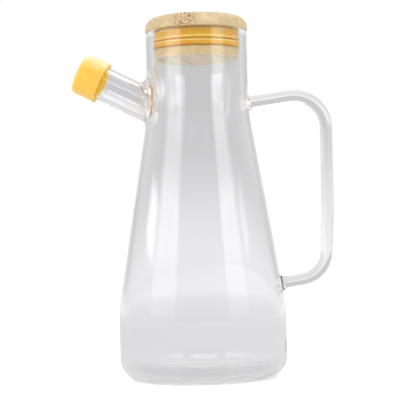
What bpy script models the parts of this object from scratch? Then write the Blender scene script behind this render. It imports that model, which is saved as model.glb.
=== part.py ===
"""Oil dispenser bottle: a clear glass bottle with a spout and a rod handle fused to it,
a turned bamboo lid with a ribbed seal ring, and a slip-on cap over the spout.

Metres, +Z up. The origin is the centre of the flat base, the spout points to -X
and the handle to +X.
"""

import math

import bmesh
import bpy
import numpy as np
from mathutils import Vector

# Turned bottle: outer radii, heights and the arcs that blend them
BODY_RADIUS = 0.0496
NECK_RADIUS = 0.0299
HEEL_ARC = 0.012
CONE_FOOT = 0.0416
CONE_FOOT_ARC = 0.100
CONE_TOP = 0.1575
CONE_TOP_ARC = 0.110
RIM_HEIGHT = 0.205
RIM_ARC = 0.0014

# Glass thickness
BODY_WALL = 0.0022
NECK_WALL = 0.0038
FLOOR = 0.003

# Spout tube: its axis crosses the bottle's axis at SPOUT_ROOT
SPOUT_RADIUS = 0.010
SPOUT_BORE = 0.0079
SPOUT_SLOPE = math.radians(27)
SPOUT_ROOT = 0.1476
SPOUT_END = 0.0764
SPOUT_INNER_END = 0.015
SPOUT_LIP_ARC = 0.0008

# Weld round the spout, wider above the tube than below it
WELD_ON_WALL = (0.0045, 0.0100)
WELD_ON_TUBE = (0.0025, 0.0055)
WELD_SINK = 0.0003

# Handle: a glass rod through these (x, z) corners, each with its bend radius
ROD_RADIUS = 0.0036
HANDLE_CORNERS = (
    (0.0280, 0.1619, 0),
    (0.0757, 0.1681, 0.019),
    (0.0755, 0.0970, 0.150),
    (0.0735, 0.0589, 0.017),
    (0.0445, 0.0546, 0),
)
ROD_WELD_RADIUS = 0.0044
ROD_WELD_LENGTH = 0.007

# Bamboo lid: a disc with a plug, grooved for the seal ring
LID_RADIUS = 0.0303
LID_TOP = 0.2132
LID_TOP_ARC = 0.006
LID_EDGE_ARC = 0.001
PLUG_RADIUS = 0.0244
PLUG_FOOT = 0.1885
PLUG_ARC = 0.0012

# Seal ring: a plain band with two lips under it
SEAL_TOP = 0.204
SEAL_FOOT = 0.1942
SEAL_BAND_RADIUS = 0.0248
SEAL_LIP_RADIUS = 0.0257
SEAL_GROOVE_RADIUS = 0.0243
SEAL_INNER_RADIUS = 0.0231
SEAL_LIPS = ((0.2002, 0.1985), (0.1979, 0.1948))
SEAL_LIP_ARC = 0.0007

# Spout cap, measured along the spout from the bottle's axis
CAP_RADIUS = 0.0126
CAP_START = 0.0638
CAP_END = 0.0789
CAP_END_ARC = 0.0022
CAP_MOUTH_ARC = 0.0006

# Clearance between pieces that touch
GAP = 0.0003

# How far a facet may stray from its arc
ARC_TOLERANCE = 0.0001
TURNED_SEGMENTS = 60
TUBE_SEGMENTS = 28
ROD_SEGMENTS = 12

CLEAR_GLASS = ("clear_glass", (0.86, 0.89, 0.89), 0.03, 0.0)
BAMBOO = ("bamboo", (0.78, 0.63, 0.39), 0.55, 0.0)
YELLOW_SILICONE = ("yellow_silicone", (0.85, 0.50, 0.06), 0.45, 0.0)
YELLOW_PLASTIC = ("yellow_plastic", (0.93, 0.62, 0.15), 0.4, 0.0)


def clear_scene():
    """Remove whatever the scene holds."""
    for item in list(bpy.data.objects):
        bpy.data.objects.remove(item, do_unlink=True)


def finish(piece, finish_of):
    """Give a piece its material and shade it smooth with sharp edges kept."""
    name, colour, roughness, metallic = finish_of
    material = bpy.data.materials.get(name) or bpy.data.materials.new(name)
    material.use_nodes = True
    shader = material.node_tree.nodes["Principled BSDF"]
    shader.inputs["Base Color"].default_value = (*colour, 1.0)
    shader.inputs["Roughness"].default_value = roughness
    shader.inputs["Metallic"].default_value = metallic
    piece.data.materials.clear()
    piece.data.materials.append(material)
    piece.data.shade_smooth()
    piece.data.set_sharp_from_angle(angle=math.radians(35))


def rounded(corners):
    """Points of an open line through corners (x, z, arc radius), with the arcs cut in steps."""
    points = [Vector(corners[0][:2])]
    for before, corner, after in zip(corners, corners[1:], corners[2:]):
        middle = Vector(corner[:2])
        back = (Vector(before[:2]) - middle).normalized()
        ahead = (Vector(after[:2]) - middle).normalized()
        half_angle = back.angle(ahead) / 2
        radius = corner[2]
        if radius == 0:
            points.append(middle)
            continue
        reach = radius / math.tan(half_angle)
        centre = middle + (back + ahead).normalized() * radius / math.sin(half_angle)
        first = middle + back * reach - centre
        turn = math.pi - 2 * half_angle
        steps = math.ceil(turn / (2 * math.acos(1 - ARC_TOLERANCE / radius)))
        side = 1 if back.x * ahead.y - back.y * ahead.x < 0 else -1
        for step in range(steps + 1):
            angle = side * turn * step / steps
            across = Vector((-first.y, first.x))
            points.append(centre + first * math.cos(angle) + across * math.sin(angle))
    points.append(Vector(corners[-1][:2]))
    return points


def from_rings(name, rings, closed=False):
    """A closed solid through rings of points: its ends capped, or the last ring joined to the first."""
    shape = bmesh.new()
    rows = [[shape.verts.new(point) for point in ring] for ring in rings]
    pairs = list(zip(rows, rows[1:]))
    if closed:
        pairs.append((rows[-1], rows[0]))
    else:
        shape.faces.new(rows[0])
        shape.faces.new(rows[-1])
    for lower, upper in pairs:
        for here in range(len(lower)):
            after = (here + 1) % len(lower)
            shape.faces.new((lower[here], lower[after], upper[after], upper[here]))
    bmesh.ops.recalc_face_normals(shape, faces=shape.faces)
    mesh = bpy.data.meshes.new(name)
    shape.to_mesh(mesh)
    shape.free()
    piece = bpy.data.objects.new(name, mesh)
    bpy.context.scene.collection.objects.link(piece)
    return piece


def turned(name, outline, closed=False):
    """A solid turned about the Z axis from an outline of (radius, height) points."""
    turns = [2 * math.pi * step / TURNED_SEGMENTS for step in range(TURNED_SEGMENTS)]
    rings = [[(r * math.cos(turn), r * math.sin(turn), z) for turn in turns] for r, z in outline]
    return from_rings(name, rings, closed)


def combine(solid, operation, tools):
    """Join tools to a solid, or cut them out of it, and remove the tools."""
    group = bpy.data.collections.new("tools")
    for tool in tools:
        group.objects.link(tool)
    change = solid.modifiers.new("combine", "BOOLEAN")
    change.operation = operation
    change.solver = "EXACT"
    change.operand_type = "COLLECTION"
    change.collection = group
    evaluated = solid.evaluated_get(bpy.context.evaluated_depsgraph_get())
    result = bpy.data.meshes.new_from_object(evaluated)
    solid.modifiers.clear()
    solid.data = result
    for tool in tools:
        bpy.data.objects.remove(tool, do_unlink=True)
    bpy.data.collections.remove(group)


def outer_corners():
    """Corners of the bottle's outside, from the base to the rim."""
    return [
        (BODY_RADIUS - HEEL_ARC, 0, 0),
        (BODY_RADIUS, 0, HEEL_ARC),
        (BODY_RADIUS, CONE_FOOT, CONE_FOOT_ARC),
        (NECK_RADIUS, CONE_TOP, CONE_TOP_ARC),
        (NECK_RADIUS, RIM_HEIGHT, 0),
    ]


def inner_corners():
    """Corners of the bottle's inside, from the floor to the rim."""
    body = BODY_RADIUS - BODY_WALL
    neck = NECK_RADIUS - NECK_WALL
    heel = HEEL_ARC - BODY_WALL
    return [
        (body - heel, FLOOR, 0),
        (body, FLOOR, heel),
        (body, CONE_FOOT, CONE_FOOT_ARC),
        (neck, CONE_TOP, CONE_TOP_ARC),
        (neck, RIM_HEIGHT, 0),
    ]


def wall_radius(height, corners):
    """Radius of the bottle's outside or inside at a height."""
    outline = rounded(corners)
    return float(np.interp(height, [z for _, z in outline], [r for r, _ in outline]))


def spout_point(radius, turn, along):
    """Point beside the spout's axis: turn is 0 above the axis, along runs from the bottle's axis."""
    rise = radius * math.cos(turn)
    return Vector((
        rise * math.sin(SPOUT_SLOPE) - along * math.cos(SPOUT_SLOPE),
        radius * math.sin(turn),
        SPOUT_ROOT + along * math.sin(SPOUT_SLOPE) + rise * math.cos(SPOUT_SLOPE),
    ))


def spout_meets_wall(radius, turn):
    """How far along the spout a line beside its axis crosses the bottle's outside."""
    along = SPOUT_END / 2
    for _ in range(12):
        wall = wall_radius(spout_point(radius, turn, along).z, outer_corners())
        sideways = radius * math.sin(turn)
        reach = math.sqrt(wall ** 2 - sideways ** 2)
        along = (reach + radius * math.cos(turn) * math.sin(SPOUT_SLOPE)) / math.cos(SPOUT_SLOPE)
    return along


def spout_tube():
    """The spout's outside: a weld that flares onto the wall, the straight tube and its lip."""
    turns = [2 * math.pi * step / TUBE_SEGMENTS for step in range(TUBE_SEGMENTS)]
    widest = SPOUT_RADIUS + WELD_ON_WALL[0]
    rings = [[spout_point(widest, turn, SPOUT_INNER_END) for turn in turns]]
    for sweep in (None, 90, 72, 54, 36, 18, 0):
        ring = []
        for turn in turns:
            above = (1 + math.cos(turn)) / 2
            on_wall = WELD_ON_WALL[0] + above * (WELD_ON_WALL[1] - WELD_ON_WALL[0])
            on_tube = WELD_ON_TUBE[0] + above * (WELD_ON_TUBE[1] - WELD_ON_TUBE[0])
            angle = math.radians(90 if sweep is None else sweep)
            radius = SPOUT_RADIUS + on_wall * math.cos(SPOUT_SLOPE) * (1 - math.cos(angle))
            lift = (on_tube + WELD_SINK) * (1 - math.sin(angle)) - WELD_SINK
            if sweep is None:
                lift = -NECK_WALL / 2
            ring.append(spout_point(radius, turn, spout_meets_wall(radius, turn) + lift))
        rings.append(ring)
    lip = rounded([
        (SPOUT_RADIUS, SPOUT_END - 3 * SPOUT_LIP_ARC, 0),
        (SPOUT_RADIUS, SPOUT_END, SPOUT_LIP_ARC),
        (SPOUT_BORE, SPOUT_END, 0),
    ])
    rings += [[spout_point(radius, turn, along) for turn in turns] for radius, along in lip]
    return from_rings("spout_tube", rings)


def spout_bore():
    """The bore from the bottle's hollow to beyond the spout's end."""
    turns = [2 * math.pi * step / TUBE_SEGMENTS for step in range(TUBE_SEGMENTS)]
    reach = (SPOUT_INNER_END, SPOUT_END + SPOUT_RADIUS)
    return from_rings("spout_bore", [
        [spout_point(SPOUT_BORE, turn, along) for turn in turns] for along in reach
    ])


def handle_rod():
    """The handle: one bent rod whose two ends swell into their welds."""
    path = rounded(HANDLE_CORNERS)
    swell_at = [share * ROD_WELD_LENGTH for share in (0.1, 0.25, 0.45, 0.7, 1.0)]
    wall_at = (NECK_RADIUS, wall_radius(HANDLE_CORNERS[-1][1], outer_corners()))
    first, last = path[0], path[-1]
    leave = (path[1] - first).normalized()
    arrive = (path[-2] - last).normalized()
    first_weld = first + leave * (wall_at[0] - first.x) / leave.x
    last_weld = last + arrive * (wall_at[1] - last.x) / arrive.x
    head = [first_weld + leave * distance for distance in swell_at]
    tail = [last_weld + arrive * distance for distance in reversed(swell_at)]
    points = [first, *head, *path[1:-1], *tail, last]
    curve = bpy.data.curves.new("handle_rod", "CURVE")
    curve.dimensions = "3D"
    curve.bevel_depth = ROD_RADIUS
    curve.bevel_resolution = (ROD_SEGMENTS - 4) // 2
    curve.use_fill_caps = True
    spline = curve.splines.new("POLY")
    spline.points.add(len(points) - 1)
    swell = ROD_WELD_RADIUS / ROD_RADIUS - 1
    for node, point in zip(spline.points, points):
        distance = min((point - first_weld).length, (point - last_weld).length)
        fade = max(0.0, 1 - distance / ROD_WELD_LENGTH)
        inside = point.x < first_weld.x if point.y > CONE_TOP else point.x < last_weld.x
        node.co = (point.x, 0, point.y, 1)
        node.radius = 1 + swell * (1.0 if inside else fade ** 2)
    bent = bpy.data.objects.new("handle_rod", curve)
    bpy.context.scene.collection.objects.link(bent)
    mesh = bpy.data.meshes.new_from_object(bent.evaluated_get(bpy.context.evaluated_depsgraph_get()))
    bpy.data.objects.remove(bent, do_unlink=True)
    shape = bmesh.new()
    shape.from_mesh(mesh)
    bmesh.ops.remove_doubles(shape, verts=shape.verts, dist=1e-6)
    bmesh.ops.recalc_face_normals(shape, faces=shape.faces)
    shape.to_mesh(mesh)
    shape.free()
    rod = bpy.data.objects.new("handle_rod", mesh)
    bpy.context.scene.collection.objects.link(rod)
    return rod


def make_bottle():
    """The glass: turned body, spout and handle in one piece, hollow to the rim and spout end."""
    outside = outer_corners()
    outside[-1] = (NECK_RADIUS, RIM_HEIGHT, RIM_ARC)
    outside.append((NECK_RADIUS - NECK_WALL / 2, RIM_HEIGHT, 0))
    bottle = turned("glass_bottle", rounded(outside))
    combine(bottle, "UNION", [spout_tube(), handle_rod()])
    inside = inner_corners()
    inner_neck = inside[-1][0]
    inside[-1] = (inner_neck, RIM_HEIGHT - RIM_ARC, 0)
    inside.append((inner_neck + RIM_ARC, RIM_HEIGHT + GAP, 0))
    combine(bottle, "DIFFERENCE", [turned("hollow", rounded(inside)), spout_bore()])
    finish(bottle, CLEAR_GLASS)
    return bottle


def make_lid():
    """Bamboo disc and plug, turned in one piece, with a groove for the seal ring."""
    underside = RIM_HEIGHT + GAP
    groove = SEAL_INNER_RADIUS - GAP
    outline = rounded([
        (PLUG_RADIUS - 4 * PLUG_ARC, PLUG_FOOT, 0),
        (PLUG_RADIUS, PLUG_FOOT, PLUG_ARC),
        (PLUG_RADIUS, SEAL_FOOT - GAP, 0),
        (groove, SEAL_FOOT - GAP, 0),
        (groove, underside, 0),
        (LID_RADIUS, underside, LID_EDGE_ARC),
        (LID_RADIUS, LID_TOP, LID_TOP_ARC),
        (LID_RADIUS - 2 * LID_TOP_ARC, LID_TOP, 0),
    ])
    lid = turned("bamboo_lid", outline)
    finish(lid, BAMBOO)
    return lid


def make_seal():
    """Silicone ring round the plug: a plain band above two lips that press on the neck."""
    (upper_top, upper_foot), (lower_top, lower_foot) = SEAL_LIPS
    outline = rounded([
        (SEAL_INNER_RADIUS, SEAL_TOP, 0),
        (SEAL_BAND_RADIUS, SEAL_TOP, 0),
        (SEAL_BAND_RADIUS, upper_top, 0),
        (SEAL_LIP_RADIUS, upper_top, SEAL_LIP_ARC),
        (SEAL_LIP_RADIUS, upper_foot, SEAL_LIP_ARC),
        (SEAL_GROOVE_RADIUS, upper_foot, 0),
        (SEAL_GROOVE_RADIUS, lower_top, 0),
        (SEAL_LIP_RADIUS, lower_top, SEAL_LIP_ARC),
        (SEAL_LIP_RADIUS, lower_foot, SEAL_LIP_ARC),
        (SEAL_GROOVE_RADIUS, lower_foot, 0),
        (SEAL_GROOVE_RADIUS, SEAL_FOOT, 0),
        (SEAL_INNER_RADIUS, SEAL_FOOT, 0),
    ])
    seal = turned("seal_ring", outline, closed=True)
    finish(seal, YELLOW_SILICONE)
    return seal


def make_cap():
    """Plastic cap over the spout's end: a blind sleeve with a rounded end."""
    turns = [2 * math.pi * step / TUBE_SEGMENTS for step in range(TUBE_SEGMENTS)]
    sleeve = SPOUT_RADIUS + GAP
    outline = rounded([
        (CAP_RADIUS - 2 * CAP_END_ARC, CAP_END, 0),
        (CAP_RADIUS, CAP_END, CAP_END_ARC),
        (CAP_RADIUS, CAP_START, CAP_MOUTH_ARC),
        (sleeve, CAP_START, CAP_MOUTH_ARC),
        (sleeve, SPOUT_END + GAP, 0),
        (sleeve / 2, SPOUT_END + GAP, 0),
    ])
    cap = from_rings("spout_cap", [
        [spout_point(radius, turn, along) for turn in turns] for radius, along in outline
    ])
    finish(cap, YELLOW_PLASTIC)
    return cap


clear_scene()
make_bottle()
make_lid()
make_seal()
make_cap()
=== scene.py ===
"""Looks of the oil dispenser bottle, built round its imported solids.

Metres, +Z up, in the frame of the solids: the base stands on Z = 0, the spout points to -X
and the handle to +X.
"""

import math

import bmesh
import bpy
import numpy as np
from mathutils import Matrix, Vector


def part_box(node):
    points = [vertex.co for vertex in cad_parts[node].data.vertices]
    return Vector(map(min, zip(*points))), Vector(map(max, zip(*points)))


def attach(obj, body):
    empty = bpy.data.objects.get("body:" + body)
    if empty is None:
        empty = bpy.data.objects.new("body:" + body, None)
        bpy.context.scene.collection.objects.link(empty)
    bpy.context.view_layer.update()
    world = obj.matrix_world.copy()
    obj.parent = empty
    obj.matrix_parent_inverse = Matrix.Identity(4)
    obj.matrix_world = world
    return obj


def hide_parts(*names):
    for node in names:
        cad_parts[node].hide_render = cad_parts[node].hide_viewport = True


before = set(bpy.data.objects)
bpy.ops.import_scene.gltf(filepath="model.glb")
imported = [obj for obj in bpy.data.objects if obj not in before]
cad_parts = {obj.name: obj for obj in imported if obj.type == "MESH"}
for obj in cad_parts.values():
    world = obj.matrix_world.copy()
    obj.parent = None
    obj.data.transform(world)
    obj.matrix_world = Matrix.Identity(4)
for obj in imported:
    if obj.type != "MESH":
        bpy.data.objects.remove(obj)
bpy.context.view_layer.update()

# The bottle is blown from clear borosilicate tube: a heavy flat base, a short straight foot,
# a long cone and a straight neck with a fire-polished rim. The spout tube and the bent rod of
# the handle are fused on in the flame, which leaves a soft fillet and a faint warm tint.
glass_low, glass_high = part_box("glass_bottle")
rim_height = glass_high.z
body_radius = glass_high.y
neck_radius = 0.0299
body_wall = 0.0022
neck_wall = 0.0038
floor_height = 0.003
heel_arc = 0.012
rim_arc = 0.0008
cone_foot = (0.0416, 0.100)
cone_top = (0.1575, 0.110)

spout_radius = 0.010
spout_bore = 0.0079
spout_slope = math.radians(27)
spout_root = 0.1476
spout_end = 0.0764
spout_lip_arc = 0.0009
spout_weld_on_wall = (0.0045, 0.0100)
spout_weld_on_tube = (0.0025, 0.0055)
bore_edge_arc = 0.0016

rod_radius = 0.0036
rod_weld_on_wall = 0.0016
rod_weld_on_rod = 0.0040
handle_corners = (
    (0.0280, 0.1619, 0),
    (0.0757, 0.1681, 0.019),
    (0.0755, 0.0970, 0.150),
    (0.0735, 0.0589, 0.017),
    (0.0445, 0.0546, 0),
)

spout_patch = (15, (0.1395, 0.1920))
top_patch = (6, (0.1520, 0.1720))
foot_patch = (6, (0.0445, 0.0645))
glass_columns = 120
glass_row = 0.0025


def even_turns(count):
    """Turns that cut a full circle into equal steps."""
    return np.arange(count) * 2 * math.pi / count


def circle(radius, height):
    """A level ring of points about the bottle's axis."""
    turns = even_turns(glass_columns)
    return np.column_stack((radius * np.cos(turns), radius * np.sin(turns), np.full(glass_columns, height)))


def arc_points(before, corner, after, radius, steps):
    """Points of the arc that rounds a corner of a line, from the side of before to that of after."""
    corner = Vector(corner)
    back = (Vector(before) - corner).normalized()
    ahead = (Vector(after) - corner).normalized()
    half = back.angle(ahead) / 2
    centre = corner + (back + ahead).normalized() * radius / math.sin(half)
    first = corner + back * radius / math.tan(half) - centre
    across = Vector((-first.y, first.x))
    if across.dot(back) > 0:
        across = -across
    turn = math.pi - 2 * half
    angles = [turn * step / steps for step in range(steps + 1)]
    return [centre + first * math.cos(angle) + across * math.sin(angle) for angle in angles]


def rounded(corners, steps=8):
    """An open line through corners (x, z, arc radius), with each arc cut into steps."""
    line = [Vector(corners[0][:2])]
    for before, corner, after in zip(corners, corners[1:], corners[2:]):
        if corner[2] == 0:
            line.append(Vector(corner[:2]))
        else:
            line += arc_points(before[:2], corner[:2], after[:2], corner[2], steps)
    line.append(Vector(corners[-1][:2]))
    return line


class Wall:
    """One side of the turned wall: its radius at each height, and its rows from base to rim."""

    def __init__(self, radius, neck, floor, heel):
        line = rounded([
            (radius, floor + heel, 0),
            (radius, *cone_foot),
            (neck, *cone_top),
            (neck, rim_height - rim_arc, 0),
        ], steps=40)
        self.heights = [point.y for point in line]
        self.radii = [point.x for point in line]
        flat = [(share * (radius - heel), floor) for share in (0.02, 0.25, 0.5, 0.75)]
        bend = arc_points((0, floor), (radius, floor), (radius, floor + heel), heel, 10)
        count = round((self.heights[-1] - self.heights[0]) / glass_row)
        straight = np.linspace(self.heights[0], self.heights[-1], count + 1)[1:]
        self.rows = [*flat, *map(tuple, bend), *((self.radius(z), z) for z in straight)]

    def radius(self, height):
        """Radius of this side at one height or at many."""
        return np.interp(height, self.heights, self.radii)


class Branch:
    """A tube or rod that leaves the wall: points beside its axis, and where they cross the wall."""

    def __init__(self, origin, ahead):
        self.origin = np.array(origin)
        self.ahead = np.array(ahead) / np.linalg.norm(ahead)
        self.up = np.array((-self.ahead[2], 0, self.ahead[0])) * np.sign(self.ahead[0])
        self.side = np.array((0.0, 1.0, 0.0))

    def points(self, radius, turns, along):
        """Points at a radius, at turns from above the axis towards +Y, at distances along it."""
        out = np.outer(radius * np.cos(turns), self.up) + np.outer(radius * np.sin(turns), self.side)
        return self.origin + out + np.outer(np.broadcast_to(along, turns.shape), self.ahead)

    def crossing(self, wall, radius, turns):
        """How far along the axis lines beside it cross the wall, found by halving."""
        near = np.zeros(turns.shape)
        far = np.full(turns.shape, 2 * body_radius)
        for _ in range(40):
            middle = (near + far) / 2
            at = self.points(radius, turns, middle)
            inside = np.hypot(at[:, 0], at[:, 1]) < wall.radius(at[:, 2])
            near = np.where(inside, middle, near)
            far = np.where(inside, far, middle)
        return near


class Skin:
    """The faces of a closed glass surface, made ring by ring."""

    def __init__(self):
        self.points = []
        self.faces = []

    def ring(self, points):
        """Add a ring of points and return their numbers."""
        first = len(self.points)
        self.points += [tuple(point) for point in points]
        return list(range(first, len(self.points)))

    def join(self, lower, upper):
        """Faces between two rings of as many points."""
        for here in range(len(lower)):
            after = (here + 1) % len(lower)
            self.faces.append((lower[here], lower[after], upper[after], upper[here]))

    def chain(self, start, rings):
        """Join one ring after another to a first one, and return the last."""
        for points in rings:
            following = self.ring(points)
            self.join(start, following)
            start = following
        return start

    def turn_wall(self, wall, holes):
        """Turn a wall about Z and leave out its holes, given as (branch, turn, (columns, heights)).

        The rim comes back, and the edge of each hole in order.
        """
        grid = [self.ring(circle(radius, height)) for radius, height in wall.rows]
        self.faces.append(tuple(reversed(grid[0])))
        open_cells = set()
        edges = []
        heights = np.array([row[1] for row in wall.rows])
        for branch, turn, (columns, span) in holes:
            centre = round(turn / (2 * math.pi) * glass_columns)
            low = int(np.argmin(abs(heights - span[0])))
            high = low + 2 * round((span[1] - span[0]) / glass_row / 2)
            left, right = centre - columns, centre + columns
            open_cells |= {
                (row, column % glass_columns) for row in range(low, high) for column in range(left, right)
            }
            edge = {(row, column) for row in (low, high) for column in range(left, right + 1)}
            edge |= {(row, column) for row in range(low, high + 1) for column in (left, right)}
            numbers = [grid[row][column % glass_columns] for row, column in edge]
            at = np.array([self.points[number] for number in numbers])
            at -= at.mean(0)
            angle = np.arctan2(at @ branch.side, at[:, 2])
            order = np.argsort((angle + 1e-6) % (2 * math.pi))
            edges.append([numbers[place] for place in order])
        for row in range(len(grid) - 1):
            for column in range(glass_columns):
                if (row, column) not in open_cells:
                    after = (column + 1) % glass_columns
                    lower, upper = grid[row], grid[row + 1]
                    self.faces.append((lower[column], lower[after], upper[after], upper[column]))
        return grid[-1], edges

    def close_in(self, wall, edge, target, steps):
        """Rings that lie on the wall between a hole's square edge and the round foot of a weld."""
        start = np.array([self.points[number] for number in edge])
        start_turns = np.arctan2(start[:, 1], start[:, 0])
        end_turns = np.arctan2(target[:, 1], target[:, 0])
        swing = (end_turns - start_turns + math.pi) % (2 * math.pi) - math.pi
        for step in range(1, steps + 1):
            share = step / steps
            turns = start_turns + swing * share
            heights = start[:, 2] + (target[:, 2] - start[:, 2]) * share
            radii = wall.radius(heights)
            points = np.column_stack((radii * np.cos(turns), radii * np.sin(turns), heights))
            edge = self.chain(edge, [points])
        return edge


def weld(branch, wall, radius, on_wall, on_branch, turns, steps=9):
    """Rings of the fillet between wall and branch, from the wall to the branch."""
    rings = []
    for step in range(steps + 1):
        angle = math.pi / 2 * (1 - step / steps)
        out = radius + on_wall * (1 - math.cos(angle))
        along = branch.crossing(wall, out, turns) + on_branch * (1 - math.sin(angle))
        rings.append((out, along))
    return rings


outer_wall = Wall(body_radius, neck_radius, 0.0, heel_arc)
inner_wall = Wall(body_radius - body_wall, neck_radius - neck_wall, floor_height, heel_arc - body_wall)

spout = Branch((0, 0, spout_root), (-math.cos(spout_slope), 0, math.sin(spout_slope)))
handle_path = rounded(handle_corners, steps=24)
top_run = handle_path[1] - handle_path[0]
foot_run = handle_path[-2] - handle_path[-1]
top_weld = Branch((handle_path[0].x, 0, handle_path[0].y), (top_run.x, 0, top_run.y))
foot_weld = Branch((handle_path[-1].x, 0, handle_path[-1].y), (foot_run.x, 0, foot_run.y))

skin = Skin()
outer_rim, (spout_edge, top_edge, foot_edge) = skin.turn_wall(outer_wall, (
    (spout, math.pi, spout_patch),
    (top_weld, 0.0, top_patch),
    (foot_weld, 0.0, foot_patch),
))
inner_rim, (bore_edge,) = skin.turn_wall(inner_wall, ((spout, math.pi, spout_patch),))

# Rim: the two walls meet in a fire-polished round edge
rim_outside = arc_points((neck_radius, 0), (neck_radius, rim_height), (0, rim_height), rim_arc, 5)
inner_neck = neck_radius - neck_wall
rim_inside = arc_points((neck_radius, rim_height), (inner_neck, rim_height), (inner_neck, 0), rim_arc, 5)
rim_rings = [circle(radius, height) for radius, height in [*rim_outside[1:], *rim_inside[:-1]]]
skin.join(skin.chain(outer_rim, rim_rings), inner_rim)

# Spout: fillet, straight tube, rounded lip, and back down the bore to the inner wall
turns = even_turns(len(spout_edge))
above = (1 + np.cos(turns)) / 2
on_wall = np.interp(above, (0, 1), spout_weld_on_wall) * math.cos(spout_slope)
on_tube = np.interp(above, (0, 1), spout_weld_on_tube)
fillet = weld(spout, outer_wall, spout_radius, on_wall, on_tube, turns)
foot = skin.close_in(outer_wall, spout_edge, spout.points(fillet[0][0], turns, fillet[0][1]), 6)
rings = [spout.points(out, turns, along) for out, along in fillet[1:]]
lip_start = spout_end - 2 * spout_lip_arc
rings += [
    spout.points(spout_radius, turns, fillet[-1][1] + (lip_start - fillet[-1][1]) * share)
    for share in np.linspace(0, 1, 13)[1:]
]
lip = rounded([
    (spout_radius, lip_start, 0),
    (spout_radius, spout_end, spout_lip_arc),
    (spout_bore, spout_end, spout_lip_arc),
    (spout_bore, lip_start, 0),
], steps=5)[1:]
rings += [spout.points(out, turns, along) for out, along in lip]
bore_fillet = weld(spout, inner_wall, spout_bore, bore_edge_arc, bore_edge_arc, turns, steps=5)
bore_top = bore_fillet[-1][1]
rings += [
    spout.points(spout_bore, turns, lip_start + (bore_top - lip_start) * share)
    for share in np.linspace(0, 1, 15)[1:]
]
rings += [spout.points(out, turns, along) for out, along in reversed(bore_fillet[1:-1])]
bore_foot = skin.chain(foot, rings)
bore_root = skin.close_in(inner_wall, bore_edge, spout.points(bore_fillet[0][0], turns, bore_fillet[0][1]), 6)
skin.join(bore_foot, bore_root)

# Handle: one rod from the upper weld round its bends to the lower weld
turns = even_turns(len(top_edge))
upper = weld(top_weld, outer_wall, rod_radius, rod_weld_on_wall, rod_weld_on_rod, turns, steps=6)
lower = weld(foot_weld, outer_wall, rod_radius, rod_weld_on_wall, rod_weld_on_rod, turns, steps=6)
upper_foot = skin.close_in(outer_wall, top_edge, top_weld.points(upper[0][0], turns, upper[0][1]), 4)
lower_foot = skin.close_in(outer_wall, foot_edge, foot_weld.points(lower[0][0], turns, lower[0][1]), 4)
rod_start = skin.chain(upper_foot, [top_weld.points(out, turns, along) for out, along in upper[1:]])
rod_end = skin.chain(lower_foot, [foot_weld.points(out, turns, along) for out, along in lower[1:]])

path = np.array([tuple(point) for point in handle_path])
lengths = np.concatenate(([0], np.cumsum(np.linalg.norm(np.diff(path, axis=0), axis=1))))
weld_to_rod = 0.001
rod_ring_count = 72
stations = np.linspace(
    upper[-1][1].max() + weld_to_rod, lengths[-1] - lower[-1][1].max() - weld_to_rod, rod_ring_count
)
middles = np.column_stack([np.interp(stations, lengths, path[:, axis]) for axis in (0, 1)])
ahead = np.gradient(middles, axis=0)
ahead /= np.linalg.norm(ahead, axis=1)[:, None]
rod_rings = []
for (x, z), (run, rise) in zip(middles, ahead):
    out = rod_radius * np.cos(turns)
    rod_rings.append(np.column_stack((x - out * rise, rod_radius * np.sin(turns), z + out * run)))
last_ring = skin.chain(rod_start, rod_rings)
half = len(turns) // 2
skin.join(last_ring, [rod_end[(half - number) % len(turns)] for number in range(len(turns))])


def face_outwards(mesh):
    """Merge doubles and turn all faces of a closed mesh outwards."""
    shape = bmesh.new()
    shape.from_mesh(mesh)
    bmesh.ops.remove_doubles(shape, verts=shape.verts, dist=1e-6)
    bmesh.ops.recalc_face_normals(shape, faces=shape.faces)
    shape.to_mesh(mesh)
    shape.free()
    mesh.shade_smooth()


glass_mesh = bpy.data.meshes.new("bottle_glass")
glass_mesh.from_pydata(skin.points, [], skin.faces)
glass_mesh.validate()
glass_mesh.update()
face_outwards(glass_mesh)
bottle = bpy.data.objects.new("bottle_glass", glass_mesh)
bpy.context.scene.collection.objects.link(bottle)


def paint(*levels):
    """A colour given as it looks on a screen, from 0 to 255, in the shader's linear values."""
    shares = [level / 255 for level in levels]
    linear = [share / 12.92 if share <= 0.04045 else ((share + 0.055) / 1.055) ** 2.4 for share in shares]
    return (*linear, 1.0)


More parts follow.
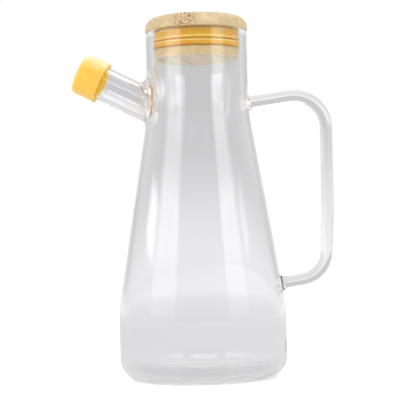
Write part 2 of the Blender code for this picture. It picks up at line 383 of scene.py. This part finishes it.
class Value:
    """An output in a node tree, with the arithmetic that the finishes and the turned pieces use."""

    def __init__(self, tree, socket=None):
        self.tree = tree
        self.socket = socket

    def add(self, kind, settings=None, inputs=None, output=0):
        """Add a node: its settings first, then each input's value or link."""
        node = self.tree.nodes.new(kind)
        for name, setting in (settings or {}).items():
            if name == "stops":
                while len(node.color_ramp.elements) < len(setting):
                    node.color_ramp.elements.new(0.5)
                for stop, (place, colour) in zip(node.color_ramp.elements, setting):
                    stop.position = place
                    stop.color = colour
            else:
                setattr(node, name, setting)
        for name, given in (inputs or {}).items():
            if isinstance(given, Value):
                self.tree.links.new(given.socket, node.inputs[name])
            else:
                node.inputs[name].default_value = given
        return Value(self.tree, node.outputs[output] if node.outputs else None)

    def out(self, output):
        """Another output of the same node."""
        return Value(self.tree, self.socket.node.outputs[output])

    def math(self, operation, *values):
        return self.add("ShaderNodeMath", {"operation": operation}, dict(enumerate(values)))

    def vector_math(self, operation, *others, output="Vector"):
        return self.add(
            "ShaderNodeVectorMath", {"operation": operation}, dict(enumerate((self, *others))), output=output
        )

    def __add__(self, other):
        return self.math("ADD", self, other)

    __radd__ = __add__

    def __mul__(self, other):
        return self.math("MULTIPLY", self, other)

    __rmul__ = __mul__

    def __sub__(self, other):
        return self.math("SUBTRACT", self, other)

    def __rsub__(self, other):
        return self.math("SUBTRACT", other, self)

    def __truediv__(self, other):
        return self.math("DIVIDE", self, other)

    def steps(self, low, high):
        """0 below low and 1 above high, with a soft passage between."""
        return self.add(
            "ShaderNodeMapRange",
            {"interpolation_type": "SMOOTHSTEP", "clamp": True},
            {"Value": self, "From Min": low, "From Max": high, "To Min": 0.0, "To Max": 1.0},
        )

    def mix(self, first, second):
        """A colour between two others, by this share of the second."""
        return self.add(
            "ShaderNodeMix", {"data_type": "RGBA"}, {0: self, 6: first, 7: second}, output=2
        )

    def shade(self, low, high):
        """A number between two others, by this share of the second."""
        return self * (high - low) + low

    def noise(self, scale, detail=2.0, roughness=0.5, stretch=(1.0, 1.0, 1.0), shift=(0.0, 0.0, 0.0)):
        """Noise at a place, in waves a metre, drawn out along the axes where stretch is low."""
        place = self.add("ShaderNodeMapping", None, {"Vector": self, "Location": shift, "Scale": stretch})
        return self.add(
            "ShaderNodeTexNoise", {"normalize": True},
            {"Vector": place, "Scale": scale, "Detail": detail, "Roughness": roughness},
        )

    def relief(self, distance, strength=1.0):
        """A bump whose height is this value times distance, in metres."""
        return self.add(
            "ShaderNodeBump", None, {"Height": self, "Distance": distance, "Strength": strength}
        )


def finish(name, uniform):
    """A material with its uniform values set. Gives it, its shader node and its Object coordinates."""
    material = bpy.data.materials.new(name)
    material.use_nodes = True
    tree = material.node_tree
    shader = tree.nodes["Principled BSDF"]
    for socket, value in uniform.items():
        shader.inputs[socket].default_value = value
    return material, shader, Value(tree).add("ShaderNodeTexCoord", output="Object")


def feed(shader, **varying):
    """Link what changes over the surface to the shader. An underscore stands for a space."""
    for name, value in varying.items():
        shader.id_data.links.new(value.socket, shader.inputs[name.replace("_", " ")])


glass, shader, place = finish("clear_glass", {"IOR": 1.47, "Transmission Weight": 1.0})
spout_weld_at = spout.points(0.0, np.zeros(1), 0.035)[0]
top_weld_at = (0.0305, 0.0, 0.1623)
foot_weld_at = (0.0485, 0.0, 0.0548)
spout_flame_reach = 0.017
rod_flame_reach = 0.011
clear = paint(253, 253, 254)
flame_tint = paint(252, 248, 242)


def near(place, centre, reach):
    """1 at a point and 0 beyond reach of it."""
    gap = place.vector_math("DISTANCE", centre, output="Value")
    return 1 - gap.steps(0.3 * reach, reach)


worked = near(place, spout_weld_at, spout_flame_reach)
for rod_weld_at in (top_weld_at, foot_weld_at):
    worked = worked.math("MAXIMUM", worked, near(place, rod_weld_at, rod_flame_reach) * 0.6)
mottle = place.noise(160.0, 3.0).steps(0.35, 0.75)
smears = place.noise(45.0, 4.0, 0.6, stretch=(1.0, 1.0, 0.4)).steps(0.45, 0.8)
ripple = place.noise(26.0, 1.0, stretch=(1.0, 1.0, 0.35)) + worked * place.noise(180.0, 2.0) * 0.35
feed(
    shader,
    Base_Color=(worked * mottle.shade(0.45, 0.8)).mix(clear, flame_tint),
    Roughness=smears * 0.018 + worked * 0.01,
    Normal=ripple.relief(0.0006, 0.5),
)
glass_mesh.materials.append(glass)
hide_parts("glass_bottle")
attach(bottle, "root")

# The lid is turned in one piece from laminated bamboo: a thick disc with a generously rounded
# top edge, and below it a plug with a groove for the seal. Sanded and left bare, it shows the
# cut ends of the fibres as dots where they meet the rim and as streaks elsewhere.
lid_low, lid_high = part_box("bamboo_lid")
seal_low, seal_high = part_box("seal_ring")
lid_radius = lid_high.y
lid_underside = rim_height + 0.0001
clearance = 0.0003
plug_radius = 0.0244
seal_inner_radius = 0.0231
groove_radius = seal_inner_radius - clearance
lid_corner = 0.006
underside_corner = 0.0007
plug_corner = 0.0012
underside_flat = 0.006
top_flat = 0.012
turned_segments = 144


def turning_tree():
    """Geometry Nodes that turn an outline in the XZ plane about Z into a closed shell."""
    tree = bpy.data.node_groups.new("turned_piece", "GeometryNodeTree")
    for name, kind, way in (
        ("Outline", "NodeSocketGeometry", "INPUT"),
        ("Segments", "NodeSocketInt", "INPUT"),
        ("Finish", "NodeSocketMaterial", "INPUT"),
        ("Piece", "NodeSocketGeometry", "OUTPUT"),
    ):
        tree.interface.new_socket(name, in_out=way, socket_type=kind)
    given = Value(tree).add("NodeGroupInput", output="Outline")
    segments = given.out("Segments")
    rows = given.add(
        "GeometryNodeAttributeDomainSize", {"component": "MESH"}, {"Geometry": given}, output="Point Count"
    )
    sheet = given.add("GeometryNodeMeshGrid", None, {
        "Size X": 1.0, "Size Y": 1.0, "Vertices X": segments + 1, "Vertices Y": rows,
    }, output="Mesh")
    spot = given.add("GeometryNodeInputPosition")
    spot = spot.add("ShaderNodeSeparateXYZ", None, {"Vector": spot})
    turn = (spot.out("X") + 0.5) * (2 * math.pi)
    row = given.math("ROUND", (spot.out("Y") + 0.5) * (rows - 1))
    corner = given.add("GeometryNodeSampleIndex", {"data_type": "FLOAT_VECTOR", "domain": "POINT"}, {
        "Geometry": given, "Value": given.add("GeometryNodeInputPosition"), "Index": row,
    })
    corner = corner.add("ShaderNodeSeparateXYZ", None, {"Vector": corner})
    around = given.add("ShaderNodeCombineXYZ", None, {
        "X": corner.out("X") * given.math("COSINE", turn),
        "Y": corner.out("X") * given.math("SINE", turn),
        "Z": corner.out("Z"),
    })
    shell = given.add("GeometryNodeSetPosition", None, {"Geometry": sheet, "Position": around})
    shell = given.add("GeometryNodeMergeByDistance", None, {"Geometry": shell, "Distance": 1e-6})
    shell = given.add("GeometryNodeSetShadeSmooth", None, {"Geometry": shell})
    shell = given.add("GeometryNodeRealizeInstances", None, {"Geometry": shell})
    shell = given.add("GeometryNodeSetMaterial", None, {"Geometry": shell, "Material": given.out("Finish")})
    given.add("NodeGroupOutput", None, {"Piece": shell})
    return tree


turning = turning_tree()


def turned_piece(name, line, material, placing=Matrix.Identity(4)):
    """A piece turned from the points (radius, height) of its outline, as a plain mesh in its place."""
    outline = bpy.data.meshes.new(name + "_outline")
    outline.from_pydata([(radius, 0.0, height) for radius, height in line], [], [])
    tool = bpy.data.objects.new(name + "_tool", outline)
    bpy.context.scene.collection.objects.link(tool)
    modifier = tool.modifiers.new("turning", "NODES")
    modifier.node_group = turning
    for socket in turning.interface.items_tree:
        if socket.name == "Segments":
            modifier[socket.identifier] = turned_segments
        if socket.name == "Finish":
            modifier[socket.identifier] = material
    held = tool.evaluated_get(bpy.context.evaluated_depsgraph_get())
    mesh = bpy.data.meshes.new_from_object(held)
    bpy.data.objects.remove(tool)
    mesh.name = name
    mesh.transform(placing)
    face_outwards(mesh)
    piece = bpy.data.objects.new(name, mesh)
    bpy.context.scene.collection.objects.link(piece)
    return piece


bamboo, shader, place = finish("bamboo", {"Specular IOR Level": 0.35, "Sheen Weight": 0.06})
fibre_turn = math.radians(-9)
strip_width = 0.0135
knot_half_width = (0.0045, 0.0075)
plug_face = (0.1890, 0.1894)
disc_foot = (0.2050, 0.2054)
along = place.add("ShaderNodeMapping", None, {"Vector": place, "Rotation": (0.0, 0.0, -fibre_turn)})
axis = along.add("ShaderNodeSeparateXYZ", None, {"Vector": along})
height = axis.out("Z")
across = axis.out("X") / strip_width + 0.5
strip = across.math("FLOOR", across)
tone = across.add("ShaderNodeTexWhiteNoise", {"noise_dimensions": "1D"}, {"W": strip + 7.3}, output="Value")
seam = across.math("PINGPONG", across, 0.5)
glue = 1 - seam.steps(0.004, 0.016)
fine = along.noise(900.0, 3.0, 0.6, stretch=(1.0, 0.02, 1.0))
broad = along.noise(190.0, 3.0, 0.55, stretch=(1.0, 0.05, 1.0), shift=(0.3, 0.0, 0.1))
cells = along.add("ShaderNodeMapping", None, {"Vector": along, "Scale": (1.0, 0.03, 1.0)})
bundle = along.add(
    "ShaderNodeTexVoronoi", {"feature": "F1", "voronoi_dimensions": "3D"},
    {"Vector": cells, "Scale": 760.0, "Randomness": 0.9}, output="Distance",
)
dense = 1 - along.math("ABSOLUTE", axis.out("X")).steps(*knot_half_width)
patchy = along.noise(420.0, 1.0, stretch=(1.0, 0.05, 1.0), shift=(0.0, 0.0, 0.4)).steps(0.42, 0.6)
disc = height.steps(*disc_foot)
# Painted light: the plug below the disc is painted paler than the disc to make up for the light it loses
# inside the neck, and its bottom face palest, as if lit from below.
pale = tone.mix(paint(178, 163, 129), paint(175, 159, 123))
pale = disc.mix(paint(236, 210, 150), pale)
pale = height.steps(*plug_face).mix(paint(250, 236, 206), pale)
dots = dense * patchy.shade(0.35, 1.0) * disc + broad.steps(0.55, 0.8) * 0.2
dots = (1 - bundle.steps(0.36, 0.52)) * dots
streaked = (fine.steps(0.35, 0.75) * 0.45).mix(pale, paint(196, 154, 98))
streaked = (broad.steps(0.45, 0.8) * 0.4).mix(streaked, paint(240, 219, 180))
streaked = (glue * 0.35).mix(streaked, paint(176, 134, 84))
feed(
    shader,
    Base_Color=(dots * 0.9).mix(streaked, paint(116, 68, 32)),
    Roughness=fine.shade(0.55, 0.7),
    Normal=(fine * 0.6 - dots * 0.6 - glue * 0.5).relief(0.00012, 0.6),
)
lid = turned_piece("turned_lid", [(0.0, lid_low.z), *rounded([
    (underside_flat, lid_low.z, 0),
    (plug_radius, lid_low.z, plug_corner),
    (plug_radius, seal_low.z - clearance, 0.0002),
    (groove_radius, seal_low.z - clearance, 0),
    (groove_radius, lid_underside, 0.0002),
    (lid_radius, lid_underside, underside_corner),
    (lid_radius, lid_high.z, lid_corner),
    (top_flat, lid_high.z, 0),
]), (0.0, lid_high.z)], bamboo)
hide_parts("bamboo_lid")
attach(lid, "root")

# The seal is one moulded ring of yellow silicone stretched into the lid's groove: a plain band
# above and two soft lips below, which press on the neck and hold the lid.
seal_band_radius = 0.0248
seal_lip_radius = seal_high.y
seal_waist_radius = 0.0243
upper_lip_top = 0.2002
upper_lip_foot = 0.1985
lower_lip_top = 0.1979
lower_lip_foot = 0.1948
lip_arc = 0.0007
silicone, shader, place = finish("yellow_silicone", {
    "Subsurface Weight": 1.0, "Subsurface Radius": (1.0, 0.55, 0.1), "Subsurface Scale": 0.002, "IOR": 1.42,
})
cloud = place.noise(260.0, 3.0, 0.6)
dust = place.noise(2600.0, 2.0, 0.6).steps(0.62, 0.78)
height = place.add("ShaderNodeSeparateXYZ", None, {"Vector": place}).out("Z")


def ring_mark(level, middle, reach):
    """1 at a height on the ring and 0 beyond reach above or below it."""
    return 1 - level.math("ABSOLUTE", level - middle).steps(0.2 * reach, reach)


# Painted highlights: the top of each lip is painted pale yellow, as if lit from the front above.
painted_upper_lip_highlight = ring_mark(height, upper_lip_top - 0.0005, 0.0009)
painted_lip_highlights = height.math("MAXIMUM", painted_upper_lip_highlight, ring_mark(height, lower_lip_top - 0.0006, 0.0009))
# Painted shade: the groove between the lips and the part below the lower lip are painted a deeper orange.
between_lips = (upper_lip_foot + lower_lip_top) / 2
painted_shade_under_lips = 1 - height.steps(lower_lip_foot - 0.0006, lower_lip_foot + 0.0007)
painted_groove_shade = height.math("MAXIMUM", ring_mark(height, between_lips, 0.0006), painted_shade_under_lips)
yellow = cloud.steps(0.3, 0.7).mix(paint(252, 182, 20), paint(253, 192, 32))
yellow = (painted_lip_highlights * 0.9).mix((painted_groove_shade * 0.7).mix(yellow, paint(226, 150, 16)), paint(255, 226, 128))
feed(
    shader,
    Base_Color=(dust * 0.12).mix(yellow, paint(250, 226, 170)),
    Roughness=cloud.shade(0.38, 0.52),
    Normal=(place.noise(3200.0, 2.0) * 0.5 + cloud * 0.5).relief(0.00006, 0.5),
)
seal_outline = rounded([
    (seal_inner_radius, 0.2000, 0),
    (seal_inner_radius, seal_high.z, 0.0003),
    (seal_band_radius, seal_high.z, 0.0004),
    (seal_band_radius, upper_lip_top, 0.0002),
    (seal_lip_radius, upper_lip_top, lip_arc),
    (seal_lip_radius, upper_lip_foot, lip_arc),
    (seal_waist_radius, upper_lip_foot, 0.00025),
    (seal_waist_radius, lower_lip_top, 0.00025),
    (seal_lip_radius, lower_lip_top, lip_arc),
    (seal_lip_radius, lower_lip_foot, lip_arc),
    (seal_waist_radius, lower_lip_foot, 0.0002),
    (seal_waist_radius, seal_low.z, 0.0002),
    (seal_inner_radius, seal_low.z, 0.0003),
    (seal_inner_radius, 0.1995, 0),
], steps=5)
seal = turned_piece("silicone_seal", [*seal_outline, seal_outline[0]], silicone)
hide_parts("seal_ring")
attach(seal, "root")

# The cap is a thin yellow plastic sleeve, moulded with a closed, softly rounded end and a narrow
# bead round its mouth, and pushed over the end of the spout.
cap_radius = 0.0126
cap_start = 0.0638
cap_end = 0.0789
cap_corner = 0.0022
bead_width = 0.0012
bead_height = 0.00025
mouth_arc = 0.0006
sleeve_radius = spout_radius + clearance
cap_inner_end = spout_end + clearance
cap_centre = 0.002
# The plastic's Emission Strength makes the inside of the cap glow with painted light; the colour is set
# below.
plastic, shader, place = finish("yellow_plastic", {
    "Subsurface Weight": 0.9, "Subsurface Radius": (1.0, 0.85, 0.5), "Subsurface Scale": 0.004, "IOR": 1.49,
    "Emission Strength": 1.0, "Sheen Weight": 0.3, "Sheen Roughness": 0.5,
})
cloud = place.noise(220.0, 2.0)
scuffs = place.noise(700.0, 4.0, 0.65, stretch=(0.3, 1.0, 1.0)).steps(0.6, 0.8)
spout_run = (-math.cos(spout_slope), 0.0, math.sin(spout_slope))
spout_top = (math.sin(spout_slope), 0.0, math.cos(spout_slope))
from_root = place.vector_math("SUBTRACT", (0.0, 0.0, spout_root))
depth = from_root.vector_math("DOT_PRODUCT", spout_run, output="Value")
lift = from_root.vector_math("DOT_PRODUCT", spout_top, output="Value")
off_axis = from_root.vector_math("CROSS_PRODUCT", spout_run).vector_math("LENGTH", output="Value")
# Painted highlight: the upper side of the cap is painted whitish, where the light from above falls on it.
painted_top_highlight = lift.steps(0.003, cap_radius) * cloud.shade(0.7, 1.2)
# Painted glow: the inside of the sleeve shines orange of its own, fully at the mouth and half as strongly
# further in.
inside = 1 - off_axis.steps(sleeve_radius + 0.0002, sleeve_radius + 0.0006)
painted_inner_glow = inside * (1 - depth.steps(cap_start + 0.002, cap_start + 0.009) * 0.5)
yellow = cloud.steps(0.3, 0.7).mix(paint(216, 172, 62), paint(220, 178, 70))
feed(
    shader,
    # The whitish colour serves both the real scuffs and the painted highlight on top.
    Base_Color=(scuffs * 0.15 + painted_top_highlight * 0.45).mix(yellow, paint(248, 234, 204)),
    Emission_Color=painted_inner_glow.mix(paint(0, 0, 0), paint(176, 150, 0)),
    Roughness=cloud.shade(0.34, 0.42) + scuffs * 0.08,
    Normal=place.noise(2800.0, 2.0).relief(0.00004, 0.4),
)
cap = turned_piece("plastic_cap", [(0.0, cap_end), *rounded([
    (cap_centre, cap_end, 0),
    (cap_radius - bead_height, cap_end, cap_corner),
    (cap_radius - bead_height, cap_start + bead_width, 0.0002),
    (cap_radius, cap_start + bead_width, 0.0002),
    (cap_radius, cap_start, mouth_arc),
    (sleeve_radius, cap_start, mouth_arc),
    (sleeve_radius, cap_inner_end, 0.0004),
    (cap_centre, cap_inner_end, 0),
]), (0.0, cap_inner_end)], plastic, placing=(
    Matrix.Translation((0, 0, spout_root)) @ Matrix.Rotation(spout_slope - math.pi / 2, 4, "Y")
))
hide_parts("spout_cap")
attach(cap, "root")

# The studio is a white tent over a pale paper floor that runs out to the horizon. A tall soft
# light and a small window stand on either side in front, one more light hangs in front and one
# above, and the sheet behind the object is paler near the floor.
floor_reach = 12.0
floor_level = -0.0003
floor_mesh = bpy.data.meshes.new("studio_floor")
floor_mesh.from_pydata([
    (x * floor_reach, y * floor_reach, floor_level) for x, y in ((-1, -1), (1, -1), (1, 1), (-1, 1))
], [], [(0, 1, 2, 3)])
floor = bpy.data.objects.new("studio_floor", floor_mesh)
bpy.context.scene.collection.objects.link(floor)


def ray_kinds(tree):
    """Two shares: 1 for a ray straight from the camera, and 1 for one that lights a matt piece."""
    seen = Value(tree).add("ShaderNodeLightPath", output="Is Camera Ray")
    return seen, seen.math("MINIMUM", seen.out("Diffuse Depth"), 1.0)


# Glass shows a greyer floor and tent than the ones that light the matt pieces
floor_light = 1.15
floor_seen = 0.34
floor_brightest = 1.2
paper, paper_shader, spot = finish("studio_paper", {
    "Roughness": 0.9, "Specular IOR Level": 0.0, "Emission Strength": floor_brightest,
})
seen, lit = ray_kinds(paper.node_tree)
away = spot.vector_math("LENGTH", output="Value").steps(0.2, 2.0)
leftward = 1 - spot.add("ShaderNodeSeparateXYZ", None, {"Vector": spot}).out("X").steps(-1.0, 0.3)
glow = away.shade(0.63, 0.84) - leftward * 0.08
glow = seen * floor_seen + (1 - seen) * (glow + lit * (floor_light - glow))
feed(
    paper_shader,
    Base_Color=seen.mix(paint(90, 90, 90), paint(240, 240, 240)),
    Emission_Color=(glow / floor_brightest).mix(paint(0, 0, 0), paint(255, 255, 255)),
)
paper.cycles.emission_sampling = "NONE"
floor_mesh.materials.append(paper)

camera_azimuth = math.radians(4)
camera_distance = 0.782
camera_height = 0.0828
camera_roll = -0.0239
lens = bpy.data.cameras.new("photo_camera")
lens.sensor_width = 36.0
lens.lens = 118.26
lens.shift_x = -0.0025
lens.shift_y = 0.095
lens.clip_start = 0.01


def beside(turn, distance, height):
    """A spot at a turn from the camera towards +X, in degrees, at a distance and height."""
    angle = camera_azimuth + math.radians(turn)
    return Vector((distance * math.sin(angle), -distance * math.cos(angle), height))


camera = bpy.data.objects.new("photo_camera", lens)
camera.matrix_world = (
    Matrix.Translation(beside(0, camera_distance, camera_height)) @ Matrix.Rotation(camera_azimuth, 4, "Z")
    @ Matrix.Rotation(math.pi / 2, 4, "X") @ Matrix.Rotation(camera_roll, 4, "Z")
)
bpy.context.scene.collection.objects.link(camera)
bpy.context.scene.camera = camera


def softbox(name, spot, aim_height, size, radiance, fade=0.12, glow_at=((0.0, 1.0), (1.0, 1.0))):
    """A soft light aimed at the bottle's axis, fading at its edges, with its share of glow by height."""
    light = bpy.data.lights.new(name, "AREA")
    light.shape = "RECTANGLE"
    light.size, light.size_y = size
    light.energy = math.pi * size[0] * size[1] * radiance
    light.use_nodes = True
    tree = light.node_tree
    across = Value(tree).add("ShaderNodeNewGeometry", output="Parametric")
    across = across.add("ShaderNodeSeparateXYZ", None, {"Vector": across})
    width_fade, height_fade = (
        share.math("PINGPONG", share, 0.5).steps(0.0, fade) for share in (across.out("X"), across.out("Y"))
    )
    level = across.add("ShaderNodeNewGeometry", output="Position")
    level = level.add("ShaderNodeSeparateXYZ", None, {"Vector": level}).out("Z")
    stops = [(height, (share, share, share, 1.0)) for height, share in glow_at]
    level = level.add("ShaderNodeValToRGB", {"stops": stops}, {"Fac": level})
    tree.links.new((width_fade * height_fade * level).socket, tree.nodes["Emission"].inputs["Strength"])
    box = bpy.data.objects.new(name, light)
    facing_it = (Vector((0, 0, aim_height)) - spot).to_track_quat("-Z", "Y").to_matrix().to_4x4()
    box.matrix_world = Matrix.Translation(spot) @ facing_it
    box.visible_camera = False
    bpy.context.scene.collection.objects.link(box)
    return box


side_distance = 0.36
side_height = 0.20
side_glow = (
    (0.0, 0.12), (0.12, 0.17), (0.165, 0.34), (0.18, 0.50), (0.198, 0.54), (0.208, 0.60),
    (0.217, 0.78), (0.232, 0.82), (0.240, 0.55), (0.265, 0.52), (0.30, 0.72), (0.36, 0.72),
)
for side, turn, width in (("left", -55, 0.265), ("right", 49, 0.209)):
    softbox(
        side + "_light", beside(turn, side_distance, side_height), aim_height=side_height,
        size=(width, 0.34), radiance=3.3, glow_at=side_glow,
    )
for side, turn, height, size, radiance, fade in (
    ("left", -87, 0.185, (0.15, 0.07), 3.2, 0.22),
    ("right", 75, 0.190, (0.09, 0.075), 1.5, 0.3),
):
    softbox(side + "_window", beside(turn, side_distance, height), height, size, radiance, fade)
softbox("top_light", beside(180, 0.25, 0.95), aim_height=0.15, size=(0.9, 0.9), radiance=1.3)
front_light = softbox(
    "front_light", beside(0, 0.9, 0.80), aim_height=0.19, size=(1.1, 0.45), radiance=4.15, fade=0.3
)
front_light.visible_glossy = False

world = bpy.data.worlds.new("studio_tent")
bpy.context.scene.world = world
world.use_nodes = True
tree = world.node_tree
sky = Value(tree).add("ShaderNodeTexCoord", output="Generated")
away_from_camera = (-math.sin(camera_azimuth), math.cos(camera_azimuth), 0.0)
facing = sky.vector_math("DOT_PRODUCT", away_from_camera, output="Value")
rise = sky.add("ShaderNodeSeparateXYZ", None, {"Vector": sky}).out("Z")
back_sheet = facing.steps(0.3, 0.95) * (1 - rise.steps(0.0, 0.10)) * 0.27
camera_side = 1 - facing.steps(-0.95, -0.3)
tent_light = 0.97
tent_glow = 0.76 + back_sheet - facing.steps(0.6, 0.95) * 0.16 - camera_side * 0.25
seen, lit = ray_kinds(tree)
tent_glow = tent_glow + lit * (tent_light - tent_glow)
tent = sky.add("ShaderNodeBackground", None, {"Color": paint(255, 255, 255), "Strength": tent_glow})
white = sky.add("ShaderNodeBackground", None, {"Color": paint(255, 255, 255), "Strength": 1.0})
backdrop = sky.add("ShaderNodeMixShader", None, {0: seen, 1: tent, 2: white})
tree.links.new(backdrop.socket, tree.nodes["World Output"].inputs["Surface"])
tree.nodes.remove(tree.nodes["Background"])
world.cycles.sampling_method = "NONE"

# Light passes many glass walls before it leaves the bottle
glass_bounces = 128
bpy.context.scene.cycles.max_bounces = glass_bounces
bpy.context.scene.cycles.glossy_bounces = glass_bounces
bpy.context.scene.cycles.transmission_bounces = glass_bounces
bpy.context.scene.view_settings.view_transform = "Standard"
